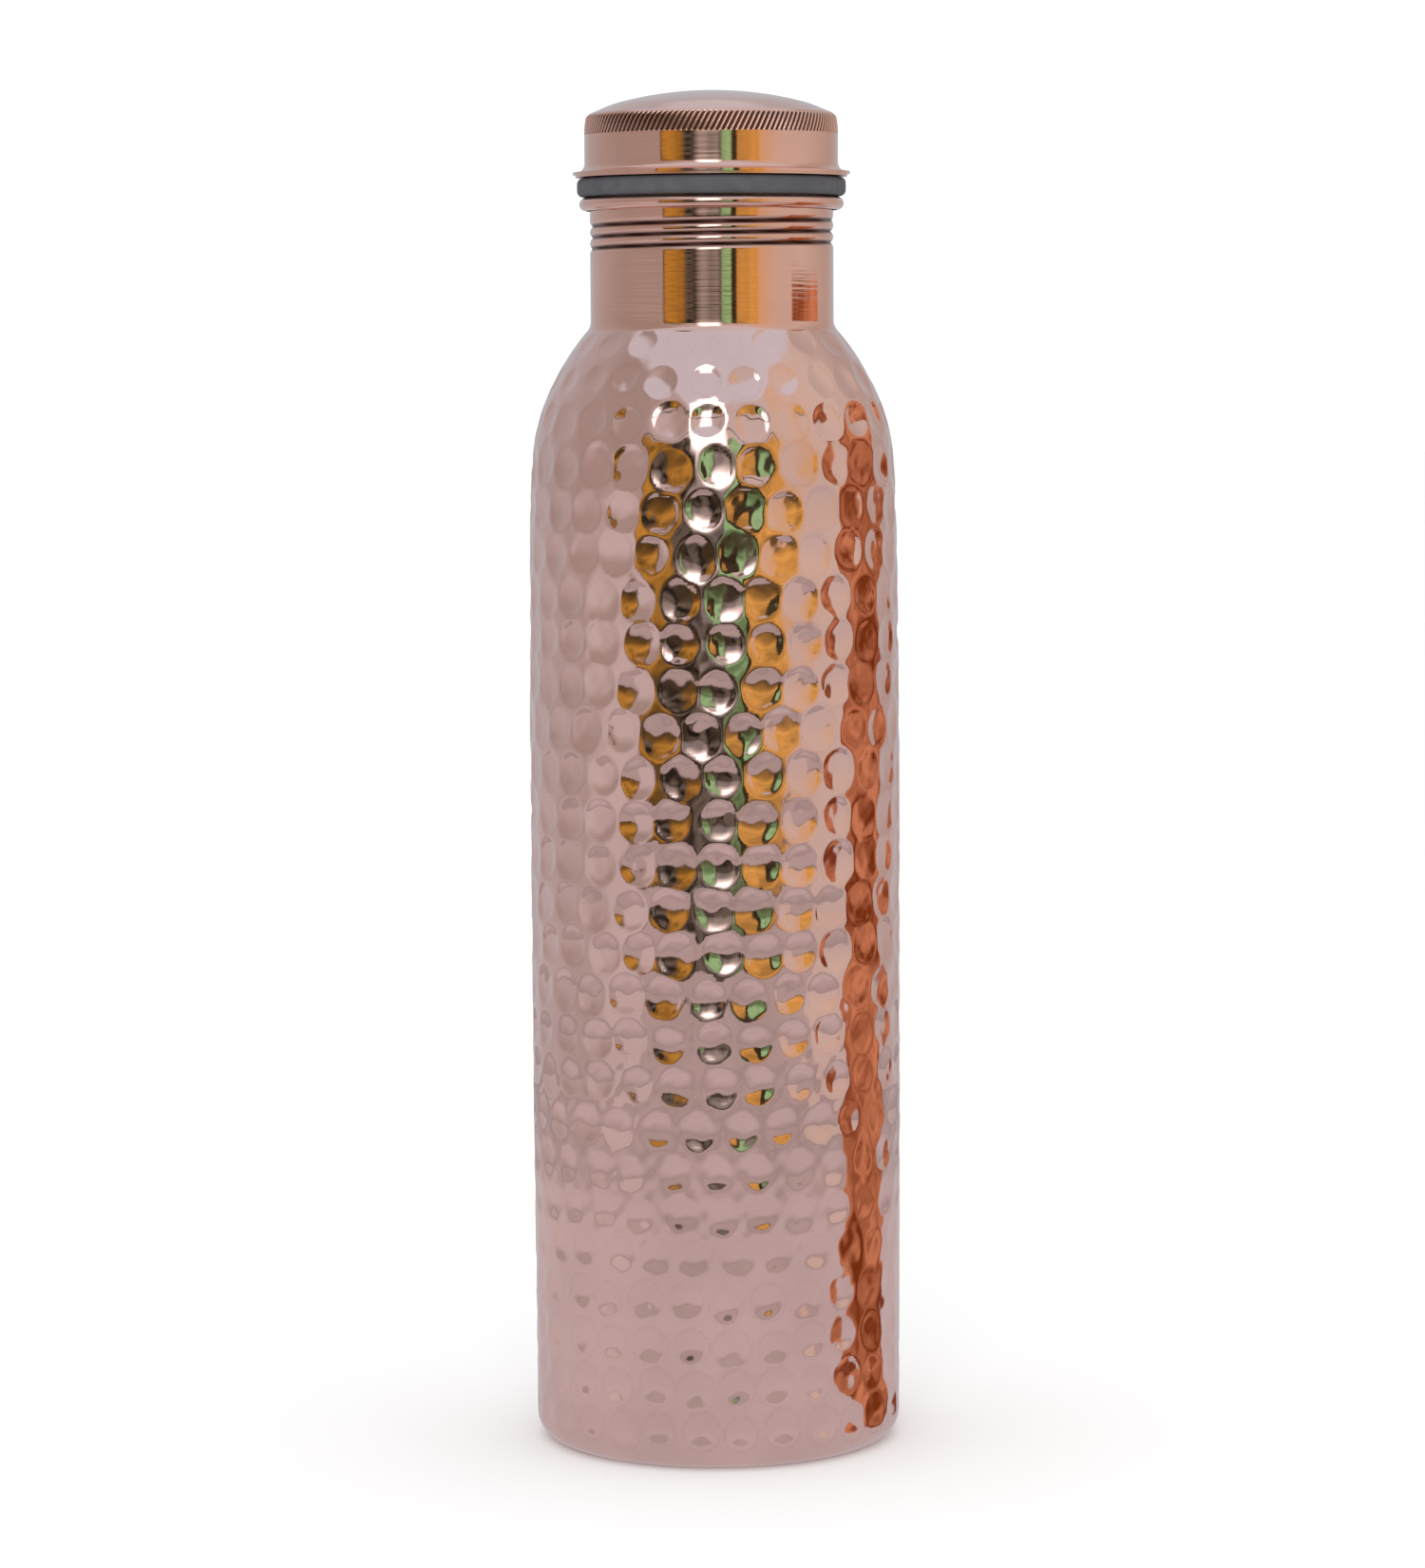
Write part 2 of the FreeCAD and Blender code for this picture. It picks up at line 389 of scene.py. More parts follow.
def ring_piece(name, rings, body, node, material, painted_shade=None):
    """A mesh through rings of points, closed in a loop; the optional shade values give how much painted
    shade each point carries.
    """
    numbers = []
    count = 0
    for points in rings:
        numbers.append(np.arange(count, count + len(points)))
        count += len(points)
    faces = []
    for a, b in zip(numbers, numbers[1:] + numbers[:1]):
        faces += faces_between(a, b)
    mesh = bpy.data.meshes.new(name)
    points = np.concatenate(rings) * MM
    mesh.from_pydata(points.tolist(), [], [tuple(map(int, face)) for face in faces])
    mesh.polygons.foreach_set("use_smooth", [True] * len(mesh.polygons))
    mesh.set_sharp_from_angle(angle=math.radians(SHARP_ANGLE))
    # Painted shade, stored on each point for the material to darken with
    if painted_shade is not None:
        layer = mesh.attributes.new("painted_shade", "FLOAT", "POINT")
        layer.data.foreach_set("value", np.concatenate(painted_shade).astype(np.float32))
    mesh.materials.append(material)
    piece = bpy.data.objects.new(name, mesh)
    bpy.context.scene.collection.objects.link(piece)
    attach(piece, body)
    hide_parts(node)
    return piece


# ---------------------------------------------------------------- body

Mark = namedtuple("Mark", "way angle size depth skew power lean_across lean_along twist saddle")


def body_path():
    """From the flange the bottle rests on to the crease at the foot of the neck."""
    path = walk((REST_RING_INNER_R, 0), 0, BODY_STEPS)
    shoulder_r, _, _ = on_path(path, path[1])
    lean = math.radians(SHOULDER_LEAN)
    fillet_width = NECK_FILLET_R * (1 - math.cos(lean))
    straight = (float(shoulder_r) - fillet_width - NECK_R) / math.sin(lean)
    return walk((REST_RING_INNER_R, 0), 0, BODY_STEPS + [(straight, 0)])


def by_height(z, stops):
    """A value at a height, from (height, value) stops."""
    heights, values = zip(*stops)
    return float(np.interp(z, heights, values))


def hammer_mark(dice, way, z, place, marks_round):
    """One mark near a place in its row, with its own small differences."""
    chance = by_height(z, MARK_CHANCE)
    strength = by_height(z, MARK_STRENGTH_LOW) * by_height(z, MARK_STRENGTH_HIGH)
    return Mark(
        angle=2 * math.pi * (place + dice.uniform(-0.07, 0.07)) / marks_round - math.pi / 2,
        way=way + dice.uniform(-0.55, 0.55),
        size=MARK_RADIUS * dice.uniform(0.90, 1.07) * by_height(z, MARK_SPREAD),
        depth=MARK_DEPTH * (1.0 + chance * dice.uniform(-0.2, 0.2)) * strength,
        skew=by_height(z, MARK_SKEW),
        power=by_height(z, MARK_POWER),
        lean_across=chance * dice.gauss(0.0, 0.025),
        lean_along=chance * dice.gauss(0.0, 0.02),
        twist=chance * dice.gauss(0.0, 0.08),
        saddle=chance * dice.gauss(0.0, 0.08),
    )


def mark_rows(path):
    """All the hammer marks, from the shoulder down."""
    dice = random.Random(MARK_SEED)
    flat = REST_RING_OUTER_R - REST_RING_INNER_R
    way_of_first = flat + BASE_CORNER_R * math.pi / 2 + MARK_FIRST_Z - BASE_CORNER_R
    marks = []
    for row in reversed(range(len(ROW_OFFSETS))):
        way = way_of_first + row * MARK_ROW_PITCH
        r, z, _ = on_path(path, way)
        marks_round = round(2 * math.pi * float(r) / MARK_WIDTH)
        for number in range(marks_round):
            marks.append(hammer_mark(dice, way, float(z), number + ROW_OFFSETS[row], marks_round))
    return marks


def unevenness(ways, columns):
    """A slight waviness all over the face, at most as deep as its waves stacked up."""
    dice = random.Random(WAVE_SEED)
    theta = columns_round(columns)
    waves = np.zeros((len(ways), columns))
    for _ in range(WAVES):
        around = dice.randint(*WAVES_ROUND)
        along = dice.uniform(-WAVES_SLANT, WAVES_SLANT)
        start = dice.uniform(0, 2 * math.pi)
        waves += np.cos(around * theta[None, :] + along * ways[:, None] + start) - 1.0
    fade = [*WAVES_FADE_LOW, *(ways.max() - from_end for from_end in WAVES_FADE_HIGH)]
    ends = np.interp(ways, fade, [0.0, 1.0, 1.0, 0.0])
    return WAVE_HEIGHT * waves * ends[:, None]


def mark_bowl(mark, across, along):
    """A mark's height over the plain face, and its weight: 1 in its bowl and 0 beyond its rim."""
    squared = (across ** 2 + along ** 2) / mark.size ** 2
    rise = (squared + MARK_ROUNDING) ** (mark.power / 2) - 1.0
    bowl = mark.depth * rise * (1.0 - mark.skew * along / mark.size)
    tilt = (MARK_LEAN + mark.lean_along) * along + mark.lean_across * across
    lean = mark.depth / MARK_DEPTH * tilt
    bend = mark.twist * across * along + mark.saddle * (across ** 2 - along ** 2)
    warp = mark.depth / mark.size ** 2 * bend
    inside = np.clip((1.0 - np.sqrt(squared)) / MARK_RIM, 0.0, 1.0)
    return np.minimum(bowl - lean + warp, 0.0), inside * inside * (3 - 2 * inside)


def hammered(path, ways, columns, marks):
    """Height over the plain face, and how near a rim each point is, for ways by columns."""
    height = np.zeros((len(ways), columns))
    rim = np.zeros_like(height)
    theta = columns_round(columns)
    radii, _, _ = on_path(path, ways)
    for mark in marks:
        reach = mark.size * MARK_REACH
        rows = np.nonzero(np.abs(ways - mark.way) < reach)[0]
        if not len(rows):
            continue
        around = (theta - mark.angle + math.pi) % (2 * math.pi) - math.pi
        near = np.nonzero(np.abs(around) * radii[rows].max() < reach)[0]
        across = around[near][None, :] * radii[rows][:, None]
        along = (ways[rows] - mark.way)[:, None] / MARK_STRETCH + np.zeros_like(across)
        bowl, weight = mark_bowl(mark, across, along)
        edge = 4 * weight * (1 - weight) * min(1.0, mark.depth / MARK_DEPTH)
        patch = np.ix_(rows, near)
        height[patch] = height[patch] * (1 - weight) + bowl * weight
        rim[patch] = rim[patch] * (1 - weight) + edge
    return height + unevenness(ways, columns), np.minimum(rim, 1.0)


def hammered_body(material):
    """The sheet from the resting flange to the foot of the neck, with its hammer marks."""
    path = body_path()
    length = path[1]
    marks = mark_rows(path)
    flat = REST_RING_OUTER_R - REST_RING_INNER_R
    outer = np.concatenate([[0.0, FOLD_STEP], spaced(flat, length, BODY_STEP)])
    inner = np.concatenate([spaced(length, flat, LINING_STEP), [FOLD_STEP, 0.0]])
    outer_lift, rim = hammered(path, outer, BODY_COLUMNS, marks)
    inner_lift, _ = hammered(path, inner, LINING_COLUMNS, marks)
    rings = [ring(path, way, BODY_COLUMNS, lift) for way, lift in zip(outer, outer_lift)]
    rings += [ring(path, way, LINING_COLUMNS, lift - BODY_SHEET) for way, lift in zip(inner, inner_lift)]
    # Painted shade along the rims of the hammer marks, and none on the lining
    painted_shade = [*(rim * RIM_PAINTED_SHADE), *np.zeros_like(inner_lift)]
    return ring_piece("hammered_body", rings, "bottle", "body_shell", material, painted_shade)


# ---------------------------------------------------------------- neck

def thread_shape(z, start_z, width, sharpness):
    """A screw line round one ring: 1 on the line, falling to 0 at its width, faded at its ends."""
    theta = np.degrees(columns_round(NECK_COLUMNS))
    best = np.zeros(NECK_COLUMNS)
    for turn in range(-1, math.ceil(THREAD_TURNS) + 1):
        angle = (theta - THREAD_START_ANGLE) % 360 + 360 * turn
        line = start_z + THREAD_PITCH * angle / 360
        into = np.minimum(angle, 360 * THREAD_TURNS - angle) / THREAD_RUN_OUT
        near = np.clip(1.0 - np.abs(z - line) / width, 0.0, 1.0)
        best = np.maximum(best, near ** sharpness * np.clip(into, 0.0, 1.0))
    return best


def groove_painted_shade(groove, gain, trimmed, most):
    """The shade painted into a groove, from how deep each point is in it."""
    return np.clip(groove * gain - trimmed, 0.0, most)


def neck_path():
    """From the foot of the neck, up, and three quarters of the way round the curled rim."""
    _, foot_z, _ = on_path(body_path(), body_path()[1])
    lean = math.radians(SHOULDER_LEAN)
    foot_r = NECK_R + NECK_FILLET_R * (1 - math.cos(lean))
    neck_z = float(foot_z) + NECK_FILLET_R * math.sin(lean)
    steps = [
        (NECK_FILLET_R, -SHOULDER_LEAN),
        (MOUTH_Z - RIM_CURL_R - neck_z, 0),
        (RIM_CURL_R - BODY_SHEET, -RIM_CURL_TURN),
    ]
    return walk((foot_r, float(foot_z)), 90 + SHOULDER_LEAN, steps)


def turned_neck(material):
    """Fillet, straight neck, rolled thread and curled rim, as one closed sheet."""
    path = neck_path()
    length = path[1]
    _, neck_way, curl_way = span_starts(path)
    _, neck_z, _ = on_path(path, neck_way)
    thread_low = neck_way + THREAD_START_Z - THREAD_MARGIN - neck_z
    thread_high = thread_low + THREAD_TURNS * THREAD_PITCH + 2 * THREAD_MARGIN
    ways = np.concatenate([
        spaced(0, neck_way, BEND_STEP)[:-1],
        spaced(neck_way, thread_low, NECK_STEP)[:-1],
        spaced(thread_low, thread_high, THREAD_STEP)[:-1],
        spaced(thread_high, curl_way, RIM_FOOT_STEP)[:-1],
        spaced(curl_way, length, CURL_STEP),
    ])
    rings = []
    painted_shade = []
    for way in ways:
        _, z, _ = on_path(path, way)
        groove = thread_shape(z, THREAD_START_Z, *NECK_GROOVE) * float(way < curl_way)
        rings.append(ring(path, way, NECK_COLUMNS, -THREAD_DEPTH * groove))
        # Painted shade, darkest at the bottom of the thread's groove
        painted_shade.append(groove_painted_shade(groove, *THREAD_PAINTED_SHADE))
    for way in reversed(ways):
        _, z, _ = on_path(path, way)
        ridge = thread_shape(z, THREAD_START_Z, *NECK_RIDGE) * float(way < curl_way)
        rings.append(ring(path, way, NECK_COLUMNS, -THREAD_DEPTH * ridge - BODY_SHEET))
        painted_shade.append(np.zeros(NECK_COLUMNS))
    return ring_piece("turned_neck", rings, "bottle", "body_shell", material, painted_shade)


# ---------------------------------------------------------------- base

def base_path():
    """From the rim of the base disc, in, up into the recess, and over its shallow dome to the axis."""
    start = (BASE_RIM_R, BODY_SHEET + BASE_SHEET)
    path = walk(start, 180, BASE_STEPS)
    edge_r, _, _ = on_path(path, path[1])
    dome_turn = math.degrees(math.asin(float(edge_r) / BASE_DOME_R))
    steps = BASE_STEPS[:-1] + [(BASE_BEND_R, BASE_BEND_TURN - dome_turn), (BASE_DOME_R, dome_turn)]
    return walk(start, 180, steps)


def pressed_base(material):
    """The recessed bottom inside the resting flange, as one closed sheet."""
    path = base_path()
    length = path[1]
    ways = np.concatenate([
        spaced(0, BASE_FLAT, BASE_FLAT_STEP)[:-1],
        spaced(BASE_FLAT, BASE_BENDS_END, BEND_STEP)[:-1],
        spaced(BASE_BENDS_END, length, BASE_DOME_STEP),
    ])
    rings = [ring(path, way, BASE_COLUMNS) for way in ways[:-1]]
    rings += [ring(path, length, 1), ring(path, length, 1, -BASE_SHEET)]
    rings += [ring(path, way, BASE_COLUMNS, -BASE_SHEET) for way in ways[-2::-1]]
    return ring_piece("pressed_base", rings, "bottle", "base_disc", material)


# ---------------------------------------------------------------- cap

def knurl_groove(z, columns):
    """Slanting strokes round one ring of the cap: 0 on their crests and 1 between them."""
    slide = (z - KNURL_BOTTOM_Z) * math.tan(math.radians(KNURL_LEAN)) / (2 * math.pi * CAP_SIDE_R)
    phase = 2 * math.pi * KNURL_STROKES * (np.arange(columns) / columns - slide)
    fade = min(1.0, (z - KNURL_BOTTOM_Z) / KNURL_FADE_LOW, (KNURL_TOP_Z - z) / KNURL_FADE_HIGH)
    return max(0.0, fade) * np.clip(KNURL_LEVEL - KNURL_SWING * np.cos(phase), 0.0, 1.0)


def edge_lean(way, low, corner):
    """How far the knurled edge leans in: from nothing at its foot, most at the corner."""
    rise = np.clip((way - low) / (corner - low), 0.0, 1.0) ** 2
    fall = np.clip((way - corner) / KNURL_LEAN_FADE, 0.0, 1.0)
    return float(KNURL_LEAN_IN * rise * (1.0 - fall * fall * (3 - 2 * fall)))


def cap_path():
    """From the lip's edge, in, up the flare and the side, and over the dome to the axis."""
    dome_turn = math.asin((CAP_SIDE_R - CAP_EDGE_R) / (CAP_DOME_R - CAP_EDGE_R))
    edge_z = CAP_TOP_Z - CAP_DOME_R + (CAP_DOME_R - CAP_EDGE_R) * math.cos(dome_turn)
    side = edge_z - CAP_LIP_Z - CAP_SHEET - CAP_FLARE_R
    steps = [
        (CAP_LIP_R - CAP_SIDE_R - CAP_FLARE_R, 0),
        (CAP_FLARE_R, -90),
        (side, 0),
        (CAP_EDGE_R, 90 - math.degrees(dome_turn)),
        (CAP_DOME_R, math.degrees(dome_turn)),
    ]
    return walk((CAP_LIP_R, CAP_LIP_Z + CAP_SHEET), 180, steps)


def domed_cap(material):
    """Lip, flare, side, knurled edge and dome, as one closed sheet."""
    path = cap_path()
    length = path[1]
    _, _, side_way, edge_way, dome_way = span_starts(path)
    side_z = CAP_LIP_Z + CAP_SHEET + CAP_FLARE_R
    knurl_low = side_way + KNURL_BOTTOM_Z - side_z - KNURL_MARGIN
    knurl_high = dome_way + KNURL_OVERRUN
    corner = (edge_way + dome_way) / 2
    wide, fine = KNURL_STROKES, KNURL_STROKES * KNURL_FINENESS
    plain = np.concatenate([
        LIP_EDGE_WAYS,
        spaced(LIP_EDGE_WAYS[-1], side_way, FLARE_STEP)[1:-1],
        spaced(side_way, knurl_low, DOME_STEP),
    ])
    knurled = spaced(knurl_low + KNURL_MARGIN, knurl_high, KNURL_STEP)
    knurl_lining = spaced(knurl_low + KNURL_LINING_MARGIN, knurl_high, KNURL_LINING_STEP)
    dome = spaced(dome_way + DOME_MARGIN, length, DOME_STEP)

    def lift(way):
        return -edge_lean(way, knurl_low, corner)

    rings = [ring(path, way, wide) for way in plain]
    painted_shade = [np.zeros(wide) for way in plain]
    for way in knurled:
        _, z, _ = on_path(path, way)
        groove = knurl_groove(float(z), fine)
        rings.append(ring(path, way, fine, lift(way) - KNURL_DEPTH * groove))
        # Painted shade, darkest at the bottom of each knurl stroke
        painted_shade.append(groove_painted_shade(groove, *KNURL_PAINTED_SHADE))
    rings += [ring(path, way, wide, lift(way)) for way in dome[:-1]]
    rings += [ring(path, length, 1), ring(path, length, 1, -CAP_SHEET)]
    lining = np.concatenate([plain, knurl_lining, dome[:-1]])
    rings += [ring(path, way, wide, lift(way) - CAP_SHEET) for way in lining[::-1]]
    painted_shade += [np.zeros(len(points)) for points in rings[len(painted_shade):]]
    return ring_piece("domed_cap", rings, "cap", "cap_shell", material, painted_shade)


# ---------------------------------------------------------------- plug and seal

def plug_path():
    """From the axis, out over the plug's floor, up its wall, and out over its flange."""
    flange_z = CAP_LIP_Z - CAP_SHEET
    steps = [
        (PLUG_WALL_R - PLUG_CORNER_R, 0),
        (PLUG_CORNER_R, 90),
        (flange_z - PLUG_BEND_R - PLUG_FLOOR_Z - PLUG_CORNER_R, 0),
        (PLUG_BEND_R, -90),
        (PLUG_FLANGE_R - PLUG_WALL_R - PLUG_BEND_R, 0),
    ]
    return walk((0, PLUG_FLOOR_Z), 0, steps)


def threaded_plug(material):
    """Floor, threaded wall and flange of the plug, as one closed sheet."""
    path = plug_path()
    _, corner_way, wall_way, bend_way, _ = span_starts(path)
    plain_way = bend_way - PLUG_PLAIN_WALL
    flange_way = bend_way + PLUG_BEND_LENGTH
    ways = np.concatenate([
        spaced(0, corner_way, PLUG_FLOOR_STEP)[1:-1],
        spaced(corner_way, wall_way, BEND_STEP)[:-1],
        spaced(wall_way, plain_way, PLUG_THREAD_STEP)[:-1],
        spaced(plain_way, bend_way, PLUG_WALL_STEP)[:-1],
        spaced(bend_way, flange_way, PLUG_BEND_STEP)[:-1],
        spaced(flange_way, path[1], PLUG_FLANGE_STEP),
    ])
    rings = [ring(path, 0.0, 1)]
    for way in ways:
        _, z, _ = on_path(path, way)
        ridge = thread_shape(z, THREAD_START_Z + THREAD_PITCH / 2, *PLUG_RIDGE)
        rings.append(ring(path, way, NECK_COLUMNS, THREAD_DEPTH * ridge * float(way > wall_way)))
    rings += [ring(path, way, NECK_COLUMNS // 2, -CAP_SHEET) for way in ways[::-4]]
    rings += [ring(path, 0.0, 1, -CAP_SHEET)]
    return ring_piece("threaded_plug", rings, "cap", "cap_plug", material)


def rubber_seal(material):
    """The soft ring under the cap, with a full outer edge and a fine parting line."""
    bore_r = PLUG_WALL_R + SEAL_BORE_GAP
    low_z = MOUTH_Z + SEAL_GAP
    height = CAP_LIP_Z - CAP_SHEET - SEAL_GAP - low_z
    rounding, small = SEAL_OUTER_ROUNDING, SEAL_INNER_ROUNDING
    width = SEAL_OUTER_R - bore_r - rounding - small
    steps = [
        (width, 0),
        (rounding, 90),
        (height - 2 * rounding, 0),
        (rounding, 90),
        (width, 0),
        (small, 90),
        (height - 2 * small, 0),
        (small, 90),
    ]
    path = walk((bore_r + small, low_z), 0, steps)
    edge_way = span_starts(path)[2] + (height - 2 * rounding) / 2
    rings = []
    for way in spaced(0, path[1], SEAL_STEP)[:-1]:
        parting = PARTING_LINE_HEIGHT * max(0.0, 1 - abs(way - edge_way) / PARTING_LINE_WIDTH)
        rings.append(ring(path, way, SEAL_COLUMNS, -PARTING_LINE_HEIGHT + parting))
    return ring_piece("rubber_seal", rings, "seal", "seal_ring", material)


# ---------------------------------------------------------------- materials

class Tree:
    """The node tree of a material or of the world, with short calls to add and join nodes."""

    def __init__(self, owner):
        owner.use_nodes = True
        self.nodes = owner.node_tree.nodes
        self.links = owner.node_tree.links

    def add(self, kind, **inputs):
        """A new node, with some of its inputs set by name."""
        node = self.nodes.new(kind)
        for key, value in inputs.items():
            node.inputs[key.replace("_", " ")].default_value = value
        return node

    def link(self, source, target):
        self.links.new(source, target)

    def coordinates(self, output):
        """Places in the object's own space ("Object"), or over its box from 0 to 1 ("Generated")."""
        return self.add("ShaderNodeTexCoord").outputs[output]

    def split(self, source):
        """A node that gives a place's X, Y and Z."""
        split = self.add("ShaderNodeSeparateXYZ")
        self.link(source, split.inputs["Vector"])
        return split

    def ramp(self, source, stops):
        """Colours over a source, as (position, colour) stops."""
        ramp = self.add("ShaderNodeValToRGB")
        elements = ramp.color_ramp.elements
        while len(elements) < len(stops):
            elements.new(0.5)
        for element, (position, colour) in zip(elements, stops):
            element.position = position
            element.color = (*colour, 1.0)
        self.link(source, ramp.inputs["Fac"])
        return ramp.outputs["Color"]

    def calculate(self, operation, first, second):
        """What an operation makes of a source and a number, or of two sources."""
        node = self.add("ShaderNodeMath")
        node.operation = operation
        self.link(first, node.inputs[0])
        if isinstance(second, float):
            node.inputs[1].default_value = second
        else:
            self.link(second, node.inputs[1])
        return node.outputs["Value"]

    def mixed(self, factor, first, second):
        """A colour that goes from a linked first to a plain second."""
        mix = self.add("ShaderNodeMix")
        mix.data_type = "RGBA"
        factor_socket, first_socket, second_socket = (socket for socket in mix.inputs if socket.enabled)
        second_socket.default_value = (*second, 1.0)
        self.link(factor, factor_socket)
        self.link(first, first_socket)
        return next(socket for socket in mix.outputs if socket.enabled)


class Finish(Tree):
    """The material of a surface, built on its Principled shader."""

    def __init__(self, name):
        self.material = bpy.data.materials.new(name)
        super().__init__(self.material)
        self.shader = self.nodes["Principled BSDF"]
        self.place = self.coordinates("Object")

    def noise(self, scale, detail=2.0, roughness=0.5, stretch=(1, 1, 1)):
        """Noise in the object's own space, stretched along its axes."""
        mapping = self.add("ShaderNodeMapping", Scale=stretch)
        self.link(self.place, mapping.inputs["Vector"])
        noise = self.add("ShaderNodeTexNoise", Scale=scale, Detail=detail, Roughness=roughness)
        self.link(mapping.outputs["Vector"], noise.inputs["Vector"])
        return noise.outputs["Fac"]

    def span(self, source, low, high):
        """A value that follows a noise from low to high."""
        span = self.add("ShaderNodeMapRange", From_Min=0.3, From_Max=0.7, To_Min=low, To_Max=high)
        self.link(source, span.inputs["Value"])
        return span.outputs["Result"]

    def bump(self, source, strength, distance):
        """Leaves a faint relief on the surface, which follows a source."""
        bump = self.add("ShaderNodeBump", Strength=strength, Distance=distance)
        self.link(source, bump.inputs["Height"])
        self.link(bump.outputs["Normal"], self.shader.inputs["Normal"])

    def painted_shade(self):
        """How much painted shade each point of the mesh carries, from 0 to 1."""
        attribute = self.add("ShaderNodeAttribute")
        attribute.attribute_name = "painted_shade"
        return attribute.outputs["Fac"]

    def plus(self, first, second, share):
        """One value and a share of another."""
        total = self.add("ShaderNodeMath")
        total.operation = "MULTIPLY_ADD"
        self.link(second, total.inputs[0])
        total.inputs[1].default_value = share
        self.link(first, total.inputs[2])
        return total.outputs["Value"]


def shade(colour, factor):
    """A colour made lighter or darker."""
    return tuple(min(1.0, part * factor) for part in colour)


def copper(name, colour, low_roughness, high_roughness, faintest_painted_shade=0.95):
    """Lacquered copper: faint clouds of tone and of gloss, and painted shade where the mesh carries it, in
    grooves and on the rims of hammer marks.
    """
    finish = Finish(name)
    shader = finish.shader
    shader.inputs["Metallic"].default_value = 1.0
    shader.inputs["Coat Weight"].default_value = 0.25
    shader.inputs["Coat Roughness"].default_value = 0.04
    # Painted shade: darker colour and duller gloss where the mesh carries it, in faint patches
    patches = finish.span(finish.noise(90.0, 2.0), faintest_painted_shade, 1.0)
    painted_shade = finish.calculate("MULTIPLY", finish.painted_shade(), patches)
    clouds = [(0.35, shade(colour, 0.95)), (0.65, shade(colour, 1.03))]
    tone = finish.ramp(finish.noise(55.0, 3.0), clouds)
    finish.link(finish.mixed(painted_shade, tone, PAINTED_SHADE), shader.inputs["Base Color"])
    gloss = finish.span(finish.noise(140.0, 4.0, 0.6), low_roughness, high_roughness)
    finish.link(finish.plus(gloss, painted_shade, 0.3), shader.inputs["Roughness"])
    return finish


def hammered_copper():
    """Polished copper with the faint skin left by the hammer."""
    finish = copper("hammered_copper", HAMMERED_COPPER, 0.05, 0.10, 0.4)
    finish.bump(finish.noise(420.0, 2.0), 0.05, 0.0002)
    return finish.material


def turned_copper(name, strength):
    """Polished copper with fine lathe lines round the axis."""
    finish = copper(name, COPPER, 0.05, 0.10)
    finish.bump(finish.noise(1.0, 3.0, 0.55, stretch=(40, 40, 1300)), strength, 0.0001)
    return finish.material


def satin_copper(name):
    """Copper that was pressed or rolled and never polished."""
    finish = copper(name, COPPER, 0.22, 0.34)
    finish.bump(finish.noise(900.0, 3.0), 0.1, 0.0001)
    return finish.material


def silicone():
    """Matte grey moulded silicone with a fine grain."""
    finish = Finish("grey_silicone")
    shader = finish.shader
    shader.inputs["Specular IOR Level"].default_value = 0.3
    tone = finish.ramp(finish.noise(300.0, 3.0), [(0.3, SILICONE_DARK), (0.7, SILICONE_LIGHT)])
    finish.link(tone, shader.inputs["Base Color"])
    finish.link(finish.span(finish.noise(700.0, 3.0), 0.5, 0.68), shader.inputs["Roughness"])
    finish.bump(finish.noise(1800.0, 2.0), 0.15, 0.0001)
    return finish.material


# ---------------------------------------------------------------- camera and floor

def camera():
    """A long lens a metre away, as high as the top of the shoulder, looking slightly down."""
    data = bpy.data.cameras.new("camera")
    data.lens = CAMERA_LENS
    data.sensor_width = CAMERA_SENSOR
    data.clip_start = 0.01
    data.clip_end = 50.0
    seen = bpy.data.objects.new("camera", data)
    turn = Matrix.Rotation(math.radians(90 - CAMERA_TILT), 4, "X")
    roll = Matrix.Rotation(math.radians(CAMERA_ROLL), 4, "Z")
    seen.matrix_world = Matrix.Translation(CAMERA_PLACE) @ turn @ roll
    bpy.context.scene.collection.objects.link(seen)
    bpy.context.scene.camera = seen


def matte(name, colour):
    """A plain surface with no gloss."""
    finish = Finish(name)
    finish.shader.inputs["Base Color"].default_value = (*colour, 1.0)
    finish.shader.inputs["Roughness"].default_value = 0.9
    finish.shader.inputs["Specular IOR Level"].default_value = 0.0
    return finish.material


def staged_face(name, corners, material):
    """One flat face of the stage."""
    mesh = bpy.data.meshes.new(name)
    mesh.from_pydata(corners, [], [tuple(range(len(corners)))])
    mesh.materials.append(material)
    face = bpy.data.objects.new(name, mesh)
    bpy.context.scene.collection.objects.link(face)
    return face


def floor():
    """A pale floor, which the metal doesn't reflect."""
    far = FLOOR_REACH
    corners = [(-far, -far, 0), (far, -far, 0), (far, far, 0), (-far, far, 0)]
    staged_face("floor", corners, matte("floor_white", FLOOR_WHITE)).visible_glossy = False


# ---------------------------------------------------------------- tent

class Glow(Tree):
    """A material that gives light, for what only the metal sees."""

    def __init__(self, name):
        self.material = bpy.data.materials.new(name)
        super().__init__(self.material)
        self.nodes.remove(self.nodes["Principled BSDF"])
        self.emission = self.add("ShaderNodeEmission")
        self.finish(self.emission.outputs["Emission"])

    def finish(self, shader):
        self.link(shader, self.nodes["Material Output"].inputs["Surface"])


def mottled(name, dark, light, scale):
    """A glow that wanders softly between two colours."""
    glow = Glow(name)
    noise = glow.add("ShaderNodeTexNoise", Scale=scale, Detail=3.0)
    glow.link(glow.coordinates("Object"), noise.inputs["Vector"])
    glow.link(glow.ramp(noise.outputs["Fac"], [(0.38, dark), (0.62, light)]), glow.emission.inputs["Color"])
    return glow.material


